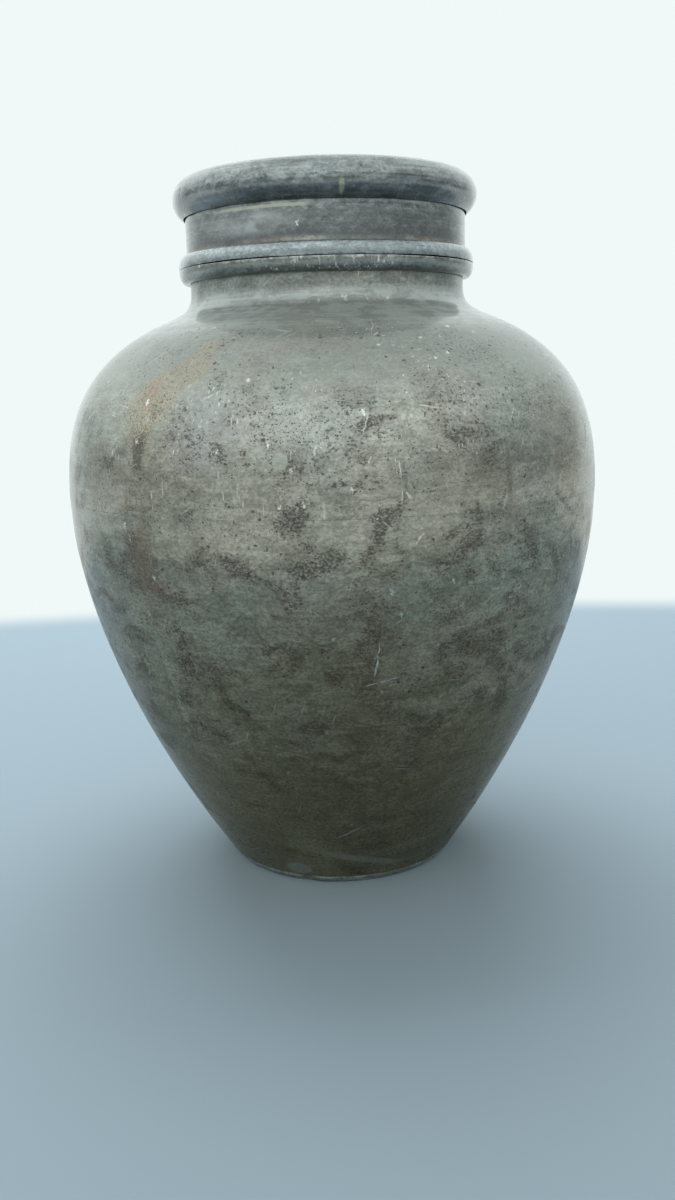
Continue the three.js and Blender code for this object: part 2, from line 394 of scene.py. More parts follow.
bodyLook = {
    "foot to neck": [  # colours at even steps of height; the paler upper steps are partly patina and partly painted light from above
        (0.262, 0.237, 0.160, 1), (0.188, 0.168, 0.108, 1), (0.192, 0.174, 0.117, 1),
        (0.262, 0.248, 0.186, 1), (0.300, 0.296, 0.242, 1), (0.318, 0.328, 0.290, 1),
        (0.300, 0.322, 0.304, 1), (0.280, 0.302, 0.285, 1),
    ],
    "warm": (1.065, 1.00, 0.935, 1),
    "cool": (0.990, 1.00, 0.960, 1),
    # a rosy tone, paler than the wall: partly its own tint, partly a painted sheen
    "rosySheen": (0.372, 0.370, 0.338, 1),
    "lavender": (0.300, 0.305, 0.330, 1),
    # the colour of painted sheen and painted highlights
    "paintedSheen": (0.550, 0.582, 0.562, 1),
    "brown": (0.060, 0.046, 0.033, 1),
    "rust": (0.130, 0.080, 0.050, 1),
    "pit": (0.016, 0.015, 0.012, 1),
    "bare": (0.80, 0.81, 0.78, 1),
    "ochre": (0.345, 0.298, 0.205, 1),
    "orange": (0.370, 0.240, 0.150, 1),
    "bleach": (1.25, 1.25, 1.25, 1),  # how much paler the run's own crumbs are
    "speck": (0.36, 0.37, 0.31, 1),
    "chalk": (0.40, 0.42, 0.36, 1),
    "metallic": 0.80,
    "rough": (0.24, 0.44),
    "polish": 0.60,  # old wax over the tin, which gives the bright rims
    "polishLow": 0.10,  # less of it near the foot
    "polishRough": 0.14,
    "edge": (0.72, 0.72, 0.72, 1),  # how far the metal whitens at its edges
    "runAngle": -39.3,  # the ochre run, in degrees from the front
    "runBend": 0.150,
    "runTop": 0.175,
    "runLean": 14.0,  # degrees by which its top leans to the front
    "arcTop": 0.1858,
    "arcAngle": -12.0,
    "smearHeight": 0.0160,
}


def stroke(angle, height, start, end, width, wobble):
    # a thin scratch between two points at (degrees, metres), which wanders by wobble
    run = (end[0] - start[0]) * degreeWidth, end[1] - start[1]
    far = math.hypot(*run)
    aside, up = (angle - start[0]) * degreeWidth, height - start[1]
    along = aside * (run[0] / far) + up * (run[1] / far)
    across = aside * (run[1] / far) - up * (run[0] / far) + wobble
    return near(abs(across), 0.2 * width, width) * band(along, 0.0, 0.2 * far, 0.7 * far, far)


def uprightScratches(colour, where, amount):
    # short scratches that run up and down, in a few patches
    lines = ramp(noise(stretch(where, 1500, 1500, 160, 6.0), 1.0, 1.0, 0.5), 0.66, 0.74)
    patch = ramp(noise(stretch(where, 1, 1, 0.4, 15.0), 62.0, 2.0), 0.53, 0.64)
    return mix(lines * patch * amount, colour, bodyLook["bare"])


def ochreRun(colour, where, angle, height):
    # a granular run: ochre below the neck, then dark, then a dim reddish line, and pale specks at its foot
    look = bodyLook
    wander = centred(noise(stretch(where, 1, 1, 1, 9.0), 90.0), 3.2)
    bend = ramp(height, look["runBend"], look["runTop"]) ** 2.4 * look["runLean"]
    away = angle - look["runAngle"] - (bend + wander)
    frayed = centred(noise(stretch(where, 1, 1, 0.6, 4.0), 380.0, 4.0, 0.7), 3.6)
    reach = abs(away) + frayed

    lane = near(reach / ramp(height, 0.145, 0.160, 3.6, 7.6), 0.55, 1.15)
    blunt = ramp(angle + centred(noise(where, 260.0), 3.0), -24.0, -26.5)
    dusty = lane * (band(height, *bodyBands["run"]) * blunt)
    colour = mix(dusty * 0.42, colour, look["ochre"])
    hot = oval(angle, height, *bodySpots["hot"]) * dusty
    colour = mix(hot * 0.28, colour, look["orange"])
    pale = mix(1.0, mix(hot, look["ochre"], look["orange"]), look["bleach"], "MULTIPLY")
    colour = mix(crumbs(where, dusty * 0.60, 1400.0) * 0.85, colour, pale)
    darker = dusty * ramp(height, 0.163, 0.147, 0.44, 0.70)
    colour = mix(crumbs(stretch(where, 1, 1, 1, 6.0), darker, 1350.0) * 0.60, colour, look["brown"])
    knot = near(reach, 0.4, 3.2) * band(height, *bodyBands["knot"])
    colour = mix(crumbs(where, knot, 1200.0) * 0.70, colour, look["brown"])

    broken = ramp(noise(stretch(where, 1, 1, 0.7, 19.0), 85.0, 3.0), 0.38, 0.62, 0.50, 1.0)
    reddish = near(reach, 2.4, 5.8) * band(height, *bodyBands["trail"]) * broken
    colour = mix(reddish * 0.26, colour, look["rust"])
    colour = mix(crumbs(where, reddish * 0.84, 1300.0) * 0.70, colour, look["rust"])
    dry = crumbs(stretch(where, 1, 1, 1, 12.0), reddish * 0.64, 1500.0)
    colour = mix(dry * 0.50, colour, look["ochre"])

    beside = near(abs(away - 5.2), 0.2, 1.3) * ramp(height, 0.088, 0.080, 0.0, 0.8)
    scale = larger(near(abs(away + 0.6), 0.4, 2.2), beside) * band(height, *bodyBands["specks"])
    return mix(crumbs(where, scale * 0.62, 1050.0) * scale * 0.95, colour, look["speck"])


def bodyMarks(colour, angle, height, mottle):
    # single marks: a pale disc, a dark drip with its shadow, a faint arc and two stains at the foot
    look = bodyLook
    names = ("disc", "drip", "shadow", "blob")
    disc, drip, shadow, blob = (oval(angle, height, *bodySpots[name]) for name in names)
    colour = mix(disc * 0.85, colour, look["chalk"])
    colour = mix(drip * ramp(mottle, 0.0, 1.0, 0.3, 1.0) * 0.55, colour, look["brown"])
    colour = mix(shadow * mottle * 0.55, colour, look["brown"])
    aside = angle - look["arcAngle"]
    arc = height - (look["arcTop"] - (aside * 0.0155) ** 2.0)
    arc = near(abs(arc), 0.0004, 0.0022) * band(angle, -34.0, -14.0, -6.0, -2.0)
    colour = mix(arc * 0.28, colour, look["chalk"])
    smear = near(abs(height - (look["smearHeight"] - aside * 0.00024)), 0.0006, 0.0019)
    smear = smear * (ramp(angle, -15.0, 6.0, 0.15, 1.0) * ramp(angle, 30.0, 20.0))
    colour = mix(smear * 0.42, colour, look["chalk"])
    return mix(blob * 0.62, colour, look["chalk"])


def bodyTin():
    look = bodyLook
    material, shader, where = newMaterial("bodyTin")
    angle, height = place(roundTheJar, Vector=where).values()
    clouds, mottle, grain, brushed = place(tarnish, Vector=where, Size=20.0, Grain=1000.0).values()
    tintCloud = noise(stretch(where, 1, 1, 0.8, 12.0), 26.0, 5.0, 0.6, 0.8)
    names = ("face", "lavenderSheen", "paintedHighlight", "flecks")
    face, lavenderSheen, paintedHighlight, neckFront = (oval(angle, height, *bodySpots[name]) for name in names)

    uneven = height + centred(clouds, 0.013) + centred(mottle, 0.007)
    # paler upward: partly patina, partly painted light from above
    colour = stops(uneven, 0.0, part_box("upper_body")[1].z, look["foot to neck"])
    # the front of the shoulder turns rosy and paler: partly its own tint, partly a painted sheen
    colour = mix(face * ramp(tintCloud, 0.42, 0.62, 0.25, 0.9), colour, look["rosySheen"])
    tintShare = ramp(height, 0.085, 0.130, 0.55, 1.0)
    tint = mix(calmed(ramp(tintCloud, 0.38, 0.62), tintShare), look["cool"], look["warm"])
    colour = mix(1.0, colour, tint, "MULTIPLY")
    lively = ramp(height, 0.157, 0.167, 1.0, 0.50) + ramp(height, 0.178, 0.186, 0.0, 0.55)
    lively = lively + ramp(height, 0.128, 0.108, 0.0, 0.30)
    swirl = lively * ramp(height, 0.085, 0.130, 0.45, 1.0)
    colour = shade(colour, calmed(mottle, swirl), 0.80, 1.20)
    colour = shade(colour, calmed(grain, lively), 0.77, 1.22)
    colour = shade(colour, calmed(brushed, lively), 0.92, 1.08)
    smears = ramp(noise(stretch(where, 1, 1, 3.2, 14.0), 75.0, 4.0, 0.6, 0.8), 0.36, 0.64)
    colour = shade(colour, calmed(smears, ramp(height, 0.176, 0.184)), 0.82, 1.19)

    # a lavender tint on the left shoulder: partly its own tint, partly a painted reflection of the light
    colour = mix(lavenderSheen * ramp(mottle, 0.0, 1.0, 0.25, 0.6), colour, look["lavender"])
    # a painted highlight on the front of the shoulder
    colour = mix(paintedHighlight * 0.26, colour, look["paintedSheen"])
    # a painted sheen round the foot of the neck, which lies in its own shade
    patchySheen = ramp(mottle + centred(brushed, 0.4), 0.25, 0.85, 0.50, 1.0)
    colour = mix(band(height, *bodyBands["sweep"]) * patchySheen, colour, look["paintedSheen"])

    # fine dirt clings in small patches, and brown stains gather round the waist; both break up into crumbs
    bare = ramp(height, 0.184, 0.174, 0.25, 1.0)
    dirt = noise(stretch(where, 1, 1, 1.2, 41.0), 120.0, 4.0, 0.7, 0.3) + face * 0.035
    dirt = ramp(dirt, 0.50, 0.70) * ramp(height, 0.178, 0.165, 0.35, 1.0)
    stain = noise(stretch(where, 1, 1, 1.4, 21.0), 66.0, 5.0, 0.65, 0.4)
    stain = ramp(stain + band(height, *bodyBands["waist"]) * 0.060, 0.50, 0.68)
    stain = stain * ramp(height, 0.172, 0.155)
    crust = crumbs(where, larger(stain * 0.76, dirt * 0.66) * bare, 1080.0)
    colour = mix(stain * 0.25, colour, look["brown"])
    rusty = ramp(noise(stretch(where, 1, 1, 1, 33.0), 90.0, 3.0, 0.6), 0.50, 0.66)
    colour = mix(crust * 0.80, colour, mix(rusty * 0.45, look["brown"], look["rust"]))

    colour = ochreRun(colour, where, angle, height)

    big = place(corrosionPits, Vector=where, Scale=620.0, Cluster=40.0, Share=0.32, Extra=face * 0.03)
    tiny = place(corrosionPits, Vector=where, Scale=1150.0, Cluster=56.0, Share=0.80, Extra=face * 0.06)
    scabs = crumbs(stretch(where, 1, 1, 1, 27.0), tiny["Clusters"] * 0.30, 1150.0)
    pits = larger(big["Pits"], tiny["Pits"], scabs) * bare * ramp(height, 0.040, 0.085, 0.35, 1.0)
    colour = mix(tiny["Clusters"] * 0.10, colour, look["brown"])
    colour = mix(pits * 0.76, colour, look["pit"])
    colour = bodyMarks(colour, angle, height, mottle)

    scratches = place(thinScratches, Vector=where, Amount=0.7)["Scratches"]
    nicks = place(brightNicks, Vector=where, Scale=150.0, Share=0.07)["Nicks"]
    small = place(brightNicks, Vector=stretch(where, 1, 1, 1, 2.0), Scale=330.0, Share=0.07)["Nicks"]
    nicks = larger(nicks, small) * ramp(height, 0.085, 0.125, 0.30, 1.0)
    colour = uprightScratches(colour, where, ramp(height, 0.120, 0.140) * 0.75)
    colour = mix(scratches * 0.45, colour, look["bare"])
    wobble = centred(noise(stretch(where, 1, 1, 1, 37.0), 240.0, 2.0), 1.1 * mm)
    strength = ramp(noise(stretch(where, 1, 1, 1, 39.0), 700.0, 2.0), 0.36, 0.62, 0.15, 0.75)
    for start, end, width in bodyStrokes:
        colour = mix(stroke(angle, height, start, end, width, wobble) * strength, colour, look["bare"])
    colour = mix(nicks * 0.85, colour, look["bare"])
    flecks = ramp(noise(stretch(where, 1, 1, 0.7, 29.0), 620.0, 2.0), 0.61, 0.67)
    colour = mix(flecks * neckFront * 0.75, colour, look["bare"])
    feed(shader.inputs["Base Color"], colour)

    dull = larger(stain * 0.5, crust, pits) + mottle * 0.35
    matte = ramp(height, 0.160, 0.178)
    feed(shader.inputs["Roughness"], ramp(dull, 0.0, 1.0, *look["rough"]) + matte * 0.22)
    metallic = look["metallic"] - crust * 0.25 - matte * 0.40
    metallic = maths("ADD", metallic, larger(nicks, scratches) * 0.3, clamp=True)
    feed(shader.inputs["Metallic"], metallic)
    feed(shader.inputs["Coat Weight"], ramp(height, 0.070, 0.135, look["polishLow"], look["polish"]))
    shader.inputs["Specular Tint"].default_value = look["edge"]
    shader.inputs["Coat Roughness"].default_value = look["polishRough"]

    lines = place(turningLines, Vector=where, Fineness=1.0)["Lines"]
    relief = lines * 0.40 + grain * 0.10 + mottle * 0.25 - pits * 0.8 + crust * 0.25 - scratches * 0.4
    bumpFrom(shader, relief, 0.55, 0.22 * mm)
    return material


# Rings, lid and foot share one recipe, each with its own colours
ringCommon = {"lively": 1.2, "blotchy": 0.10, "turned": 0.14, "metallic": 0.78, "grain": 1050.0}
ringLook = {  # each metal is mixed toward pale and toward dark from the first of two heights to the second; on the bead the pale top is a painted highlight and the dark underside painted shade, and on the foot the pale rim is a painted highlight
    # the bead's pale top is a painted highlight and its dark underside painted shade
    "beadTin": {
        "base": (0.125, 0.142, 0.150, 1), "pale": (0.300, 0.326, 0.320, 1), "dark": (0.038, 0.044, 0.047, 1),
        "lively": 0.75, "blotchy": 0.15, "turned": 0.20, "metallic": 0.80, "rough": (0.24, 0.42),
        "pits": 0.75, "grain": 1100.0,
        "wander": 1.3 * mm, "paleAbove": (0.2190, 0.2232), "darkerBelow": (0.2205, 0.2148),
    },
    "bandTin": {
        "base": (0.160, 0.172, 0.172, 1), "pale": (0.240, 0.257, 0.252, 1), "dark": (0.120, 0.123, 0.130, 1),
        "lively": 1.5, "blotchy": 0.17, "rough": (0.29, 0.48), "pits": 0.40,
        "wander": 1.0 * mm, "paleAbove": (0.2125, 0.2150), "darkerBelow": (0.2100, 0.2050),
    },
    "lipTin": {
        "base": (0.240, 0.275, 0.288, 1), "pale": (0.360, 0.400, 0.415, 1), "dark": (0.120, 0.132, 0.136, 1),
        "rough": (0.26, 0.44), "pits": 0.45,
        "grain": 1100.0, "wander": 0.35 * mm, "paleAbove": (0.2005, 0.2030), "darkerBelow": (0.2000, 0.1994),
    },
    "flangeTin": {
        "base": (0.180, 0.200, 0.184, 1), "pale": (0.310, 0.335, 0.312, 1), "dark": (0.040, 0.046, 0.042, 1),
        "rough": (0.28, 0.46), "pits": 0.50,
        "grain": 1100.0, "wander": 0.5 * mm, "paleAbove": (0.1984, 0.1994), "darkerBelow": (0.1972, 0.1954),
    },
    # the foot's pale rim is a painted highlight
    "footTin": {
        "base": (0.250, 0.256, 0.215, 1), "pale": (0.52, 0.53, 0.47, 1), "dark": (0.040, 0.040, 0.030, 1),
        "metallic": 0.55, "rough": (0.38, 0.60), "pits": 0.50,
        "wander": 0.5 * mm, "paleAbove": (0.0014, 0.0026), "darkerBelow": (0.0008, 0.0001),
    },
    "plateTin": {
        "base": (0.150, 0.165, 0.165, 1), "pale": (0.290, 0.310, 0.300, 1), "dark": (0.060, 0.062, 0.058, 1),
        "lively": 0.55, "turned": 0.22, "metallic": 0.82, "rough": (0.28, 0.48), "pits": 0.40,
        "wander": 0.8 * mm, "paleAbove": (0.2252, 0.2262), "darkerBelow": (0.2225, 0.2215),
    },
    "innerTin": {
        "base": (0.330, 0.335, 0.320, 1), "pale": (0.50, 0.505, 0.485, 1), "dark": (0.150, 0.142, 0.120, 1),
        "lively": 0.40, "turned": 0.16, "metallic": 0.90, "rough": (0.20, 0.34), "pits": 0.10,
        "wander": 0.8 * mm, "paleAbove": (0.2200, 0.2212), "darkerBelow": (0.1995, 0.1950),
    },
}


def ringTin(name, details=None):
    look = ringCommon | ringLook[name]
    material, shader, where = newMaterial(name)
    angle, height = place(roundTheJar, Vector=where).values()
    clouds, mottle, grain, brushed = place(tarnish, Vector=where, Size=44.0, Grain=look["grain"]).values()

    uneven = height + centred(mottle, look["wander"]) + centred(grain, 0.4 * look["wander"])
    colour = mix(clouds * 0.30, look["base"], look["pale"])
    patchy = mottle * 0.50 + grain * 0.20 + brushed * 0.30
    # pale from the first height up: on the bead and the foot a painted highlight
    paleUpper = ramp(uneven, *look["paleAbove"]) * ramp(patchy, 0.15, 0.75, 0.50, 1.0)
    colour = mix(paleUpper, colour, look["pale"])
    for tone in (mottle, grain):
        colour = shade(colour, calmed(tone, look["lively"]), 0.86, 1.14)
    blotches = ramp(noise(stretch(where, 1, 1, 1.7, 23.0), 150.0, 4.0, 0.6, 0.8), 0.36, 0.64)
    for tone, strength in ((blotches, look["blotchy"]), (brushed, look["turned"])):
        colour = shade(colour, tone, 1 - strength, 1 + strength)
    # dark from the first height down: on the bead painted shade under the roll
    colour = mix(ramp(uneven, *look["darkerBelow"], 0.0, 0.64), colour, look["dark"])
    pitted = place(corrosionPits, Vector=where, Scale=800.0, Cluster=60.0, Share=0.6 * look["pits"])
    pits = larger(pitted["Pits"], crumbs(where, pitted["Clusters"] * (0.5 * look["pits"]), 1150.0))
    colour = mix(pits * 0.65, colour, look["dark"])
    if details:
        colour = details(colour, where, angle, height, grain)
    nicks = place(brightNicks, Vector=where, Scale=300.0, Share=0.035)["Nicks"]
    feed(shader.inputs["Base Color"], mix(nicks * 0.85, colour, bodyLook["bare"]))

    dull = maths("ADD", mottle * 0.6, pits * 0.4, clamp=True)
    feed(shader.inputs["Roughness"], ramp(dull, 0.0, 1.0, *look["rough"]))
    shader.inputs["Metallic"].default_value = look["metallic"]
    shader.inputs["Coat Weight"].default_value = bodyLook["polish"]
    shader.inputs["Coat Roughness"].default_value = bodyLook["polishRough"]
    lines = place(turningLines, Vector=where, Fineness=1.6)["Lines"]
    bumpFrom(shader, lines * 0.6 + grain * (0.06 * look["lively"]) - pits, 0.5, 0.20 * mm)
    return material


bandLook = {
    # the pale colour of painted light on the band and the bead
    "paintedHighlight": (0.450, 0.470, 0.470, 1),
    "ochre": (0.300, 0.205, 0.120, 1),
    "cream": (0.50, 0.50, 0.42, 1),
    # a painted patch of light on the left of the band
    "litFromLeft": ((-32.0, 0.2100), (30.0, 0.0050), 0.8),
    "rise": 1.5 * mm,  # of the dried polish above the crease
    "below": 1.2 * mm,  # from the bead down to the painted highlight line
}


def bandDetails(colour, where, angle, height, grain):
    # dried polish and rust in the crease above the lip ring, a painted highlight line under the bead on the
    # left, and painted light on the left of the band
    look = bandLook
    smear = ramp(noise(stretch(where, 1, 1, 2.6, 18.0), 70.0, 4.0, 0.6, 0.8), 0.38, 0.62, 0.25, 0.95)
    # painted light on the left of the band
    colour = mix(oval(angle, height, *look["litFromLeft"]) * smear, colour, look["paintedHighlight"])
    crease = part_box("lid_lip_ring")[1].z - 0.8 * mm
    above = height - (noise(where, 160.0, 3.0) * (2.2 * mm) + crease)
    patchy = ramp(noise(stretch(where, 1, 1, 0.3), 70.0, 4.0), 0.38, 0.58, 0.25, 0.85)
    polish = near(above, -0.2 * look["rise"], look["rise"]) * patchy * ramp(grain, 0.1, 0.7, 0.45, 1.0)
    rusty = larger(ramp(angle, -48.0, -62.0), ramp(noise(where, 45.0, 2.0), 0.5, 0.62))
    colour = mix(polish, colour, mix(rusty, look["cream"], look["ochre"]))
    # a painted highlight line just under the bead on the left
    line = abs(height - (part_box("lid_rim_bead")[0].z - look["below"]))
    litEdge = near(line, 0.2 * mm, 0.7 * mm) * band(angle, -52.0, -36.0, -10.0, 0.0)
    return mix(litEdge * 0.8, colour, look["cream"])


beadLook = {
    "cream": (0.36, 0.37, 0.27, 1),
    # a painted patch of light on the lower left of the bead
    "litFromLeft": ((-50.0, 0.2178), (26.0, 0.0036), 0.8),
    "drop": ((5.9, 0.2182), (1.4, 0.0030), 0.6),
}


def beadDetails(colour, where, angle, height, grain):
    # painted light on the lower left of the bead
    colour = mix(oval(angle, height, *beadLook["litFromLeft"]) * 0.28, colour, bandLook["paintedHighlight"])
    drop = oval(angle, height, *beadLook["drop"]) * ramp(grain, 0.0, 0.7, 0.55, 0.95)
    return uprightScratches(mix(drop, colour, beadLook["cream"]), where, 0.5)


flangeLook = {"scraped": ((7.0, 0.1985), (26.0, 0.0050), 0.5)}


def flangeDetails(colour, where, angle, height, grain):
    colour = uprightScratches(colour, where, 0.7)
    strokes = ramp(noise(stretch(where, 1300, 1300, 260, 9.0), 1.0, 2.0, 0.5), 0.58, 0.68)
    colour = mix(oval(angle, height, *flangeLook["scraped"]) * strokes * 0.65, colour, bodyLook["bare"])
    chips = ramp(noise(stretch(where, 1, 1, 0.5, 8.0), 330.0, 2.0), 0.60, 0.66)
    rim = ramp(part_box("neck_flange")[1].z - height, 1.2 * mm, 0.3 * mm)
    rim = rim * ramp(abs(angle + 4.0), 14.0, 34.0, 1.0, 0.2)
    return mix(chips * rim * 0.8, colour, bodyLook["bare"])


# Shape: each piece is turned finely from the profile of its own CAD node, then handled and worn
norm = np.linalg.norm


def meridian(node):
    # the profile of a turned CAD node, read where it crosses the front, as (radius, height) points
    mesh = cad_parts[node].data
    slack, perMetre = 1e-6, 1e7  # off the front, and the fineness to which two corners count as one
    keyOf, places = {}, {}
    for vertex in mesh.vertices:
        x, y, z = vertex.co
        if abs(x) < slack and y < slack:
            key = (round(-y * perMetre), round(z * perMetre))
            keyOf[vertex.index] = key
            places[key] = (max(-y, 0.0), z)
    joined = {key: set() for key in places}
    for edge in mesh.edges:
        a, b = (keyOf.get(i) for i in edge.vertices)
        if a is not None and b is not None and a != b:
            joined[a].add(b)
            joined[b].add(a)
    ends = sorted((k for k in joined if len(joined[k]) == 1), key=lambda k: k[1])
    walk = [ends[0] if ends else min(joined, key=lambda k: (k[1], k[0]))]
    while ahead := [k for k in joined[walk[-1]] if k not in walk]:
        walk.append(max(ahead, key=lambda k: k[0]) if len(walk) == 1 else ahead[0])
    return np.array([places[k] for k in walk]), not ends


def turnAt(before, here, after):  # in degrees
    a, b = here - before, after - here
    cross = a[0] * b[1] - a[1] * b[0]
    return math.degrees(math.atan2(cross, float(a @ b)))


def softened(points, closed, edge, sharp=36.0):
    # rounds every sharp corner by about edge, and flags the points where the line may still bend freely
    count = len(points)
    result = []
    for i, here in enumerate(points):
        before, after = points[i - 1], points[(i + 1) % count]
        onEnd = not closed and i in (0, count - 1)
        if onEnd or abs(turnAt(before, here, after)) < sharp:
            result.append((here, not onEnd))
            continue
        back, onward = norm(here - before), norm(after - here)
        reach = min(edge, 0.4 * back, 0.4 * onward)
        start, end = here + (before - here) / back * reach, here + (after - here) / onward * reach
        for t in (0.0, 0.25, 0.5, 0.75, 1.0):
            result.append(((1 - t) ** 2 * start + 2 * (1 - t) * t * here + t * t * end, False))
    return result


def smoothed(flagged, closed, step):
    # a smooth curve through the free points, straight between the fixed ones, cut into short steps
    count = len(flagged)
    points = [point for point, _ in flagged]
    out = []
    for i in range(count if closed else count - 1):
        j = (i + 1) % count
        straight = points[j] - points[i]
        far = norm(straight)

        def slope(k):
            if not flagged[k][1]:
                return straight
            back, onward = points[k] - points[k - 1], points[(k + 1) % count] - points[k]
            way = back / norm(back) * norm(onward) + onward / norm(onward) * norm(back)
            return way / norm(way) * far

        leaving, arriving = slope(i), slope(j)
        pieces = max(1, math.ceil(far / step))
        for n in range(pieces):
            t = n / pieces
            out.append((2 * t ** 3 - 3 * t ** 2 + 1) * points[i] + (t ** 3 - 2 * t ** 2 + t) * leaving
                       + (-2 * t ** 3 + 3 * t ** 2) * points[j] + (t ** 3 - t ** 2) * arriving)
    if not closed:
        out.append(points[-1])
    return np.array(out)


def unit(ways):
    return ways / (norm(ways, axis=1)[:, None] + 1e-12)


def outwardness(points, closed):  # from -1 where a profile faces the axis to 1 where it faces away from it
    ahead = np.roll(points, -1, 0) - points
    behind = points - np.roll(points, 1, 0)
    if not closed:
        ahead[-1] = behind[-1]
        behind[0] = ahead[0]
    return unit(unit(ahead) + unit(behind))[:, 1]


def swell(angle, height, seed, waves, around=(1, 9), along=30.0, contrast=1.0):
    # a smooth random field round a turned wall, from 0 to 1, that closes on itself
    dice = np.random.default_rng(seed)
    total = np.zeros(np.broadcast(angle, height).shape)
    for _ in range(waves):
        turns = int(dice.integers(around[0], around[1] + 1))
        rise = dice.uniform(-along, along)
        total += np.cos(turns * angle + rise * height + dice.uniform(0, 2 * math.pi))
    return 0.5 + 0.5 * np.tanh(contrast * (total / math.sqrt(waves)))


def turnedPiece(name, node, body, material, wear=None, step=1.2 * mm, edge=0.35 * mm, facets=288):
    # builds one finely turned piece in the place of a CAD node; wear moves its points
    points, closed = meridian(node)
    profile = smoothed(softened(points, closed, edge), closed, step)
    low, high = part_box(node)
    profile[:, 0] = np.clip(profile[:, 0], 0.0, high.x)
    profile[:, 1] = np.clip(profile[:, 1], low.z, high.z)
    count = len(profile)
    angle = np.repeat(np.arange(facets)[:, None] * (2 * math.pi / facets), count, 1)
    radius, height, outward = (
        np.tile(row, (facets, 1)) for row in (profile[:, 0], profile[:, 1], outwardness(profile, closed)))
    if wear:
        radius, height = wear(angle, radius, height, outward)
    grid = np.stack([np.sin(angle) * radius, -np.cos(angle) * radius, height], -1)
    vertices, faces = [], []
    index = np.full((facets, count), -1, dtype=int)
    for j in range(count):
        onAxis = not closed and j in (0, count - 1) and profile[j, 0] < 1e-7
        if onAxis:
            index[:, j] = len(vertices)
            vertices.append(tuple(grid[0, j]))
        else:
            index[:, j] = np.arange(facets) + len(vertices)
            vertices.extend(map(tuple, grid[:, j]))
    for j in range(count if closed else count - 1):
        a, b = index[:, j], index[:, (j + 1) % count]
        for quad in zip(a, np.roll(a, -1), np.roll(b, -1), b):
            corners = list(dict.fromkeys(int(c) for c in quad))
            if len(corners) > 2:
                faces.append(corners)
    mesh = bpy.data.meshes.new(name)
    mesh.from_pydata(vertices, [], faces)
    mesh.update()
    for polygon in mesh.polygons:
        polygon.use_smooth = True
    piece = addObject(name, mesh)
    piece.data.materials.append(material)
    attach(piece, body)
    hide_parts(node)
    print(name, "has", len(vertices), "points")


# How each piece is worn: shallow dents and a wall that isn't quite true
def roundFrom(degrees, angle):  # how far round from a place, in radians either way
    return (angle - math.radians(degrees) + math.pi) % (2 * math.pi) - math.pi


bodyWear = {
    "wave": 0.12 * mm,
    "hollow": 0.05 * mm,
    "seam": 4.0 * mm,  # the wall is truer this near to the seam
    "dents": (  # degrees, height, size and depth
        (-44.0, 0.171, 5.0 * mm, 0.35 * mm), (28.0, 0.118, 14.0 * mm, 0.25 * mm),
        (-12.0, 0.085, 12.0 * mm, 0.22 * mm), (140.0, 0.120, 11.0 * mm, 0.4 * mm),
        (205.0, 0.160, 9.0 * mm, 0.3 * mm), (95.0, 0.075, 10.0 * mm, 0.3 * mm),
    ),
}


def wornBody(angle, radius, height, outward):
    push = -bodyWear["wave"] * swell(angle, height, 3, 9)
    push -= bodyWear["hollow"] * swell(angle, height, 8, 24, (8, 40), 260.0)
    for degrees, z, size, depth in bodyWear["dents"]:
        away = (roundFrom(degrees, angle) * radius) ** 2 + (height - z) ** 2
        push -= depth * np.exp(-away / size ** 2)
    fromSeam = np.abs(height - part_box("lower_body")[1].z) / bodyWear["seam"]
    return radius + push * np.clip(outward * 3, 0, 1) * np.clip(fromSeam, 0.3, 1) * outward, height


beadWear = {"lip": 0.12 * mm, "wave": 0.22 * mm, "standOff": 0.25 * mm, "hemHeight": 1.4 * mm}


def wornBead(angle, radius, height, outward):
    push = -beadWear["wave"] * swell(angle, height, 21, 10, (1, 16), 180.0)
    ragged = swell(angle, height, 33, 12, (2, 24), 0.0, 1.4)
    hem = np.clip(1 - (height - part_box("lid_rim_bead")[0].z) / beadWear["hemHeight"], 0, 1)
    hem = hem * (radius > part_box("lid_band")[1].x)
    radius = radius + push * np.clip(outward * 2, 0, 1) * outward
    radius = radius + hem * (0.4 + 0.6 * ragged) * beadWear["standOff"]
    return radius, height - hem * ragged * beadWear["lip"]


seamWear = {"open": 0.32 * mm, "least": 0.10 * mm, "depth": 2.6 * mm, "reach": 0.9 * mm, "soft": 0.6 * mm}


def wornRing(amount, seed, seam=0):
    # seam is 1 where the ring's lower face stands off its neighbour, and -1 where its upper face does
    def wear(angle, radius, height, outward):
        push = -amount * swell(angle, height, seed, 12, (1, 24), 150.0)
        if seam:
            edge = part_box("neck_flange")[1].z
            beside = np.clip(1 - np.abs(height - edge) / seamWear["reach"], 0, 1)
            deep = np.clip((radius - radius.max() + seamWear["depth"]) / seamWear["soft"], 0, 1)
            wide = swell(angle, height, 57, 9, (1, 7), 0.0, 1.3)
            height = height + seam * beside * deep * (seamWear["least"] + wide * seamWear["open"]) / 2
        return radius + push * np.clip(outward * 2, 0, 1) * outward, height
    return wear


footWear = {"wave": 0.35 * mm, "dent": 0.8 * mm, "dentSize": 2.2 * mm, "dentAngle": -17.7}


def wornFoot(angle, radius, height, outward):
    wave = swell(angle, height, 41, 14, (2, 26), 0.0, 1.2)
    away = roundFrom(footWear["dentAngle"], angle) * radius
    dent = footWear["dent"] * np.exp(-away ** 2 / footWear["dentSize"] ** 2)
    return radius - (footWear["wave"] * wave + dent) * np.clip(outward * 2, 0, 1), height


body = bodyTin()
flangeTin, footTin = ringTin("flangeTin", flangeDetails), ringTin("footTin")
innerTin, plateTin = ringTin("innerTin"), ringTin("plateTin")
beadTin, bandTin = ringTin("beadTin", beadDetails), ringTin("bandTin", bandDetails)
lipTin = ringTin("lipTin")
print("materials built")

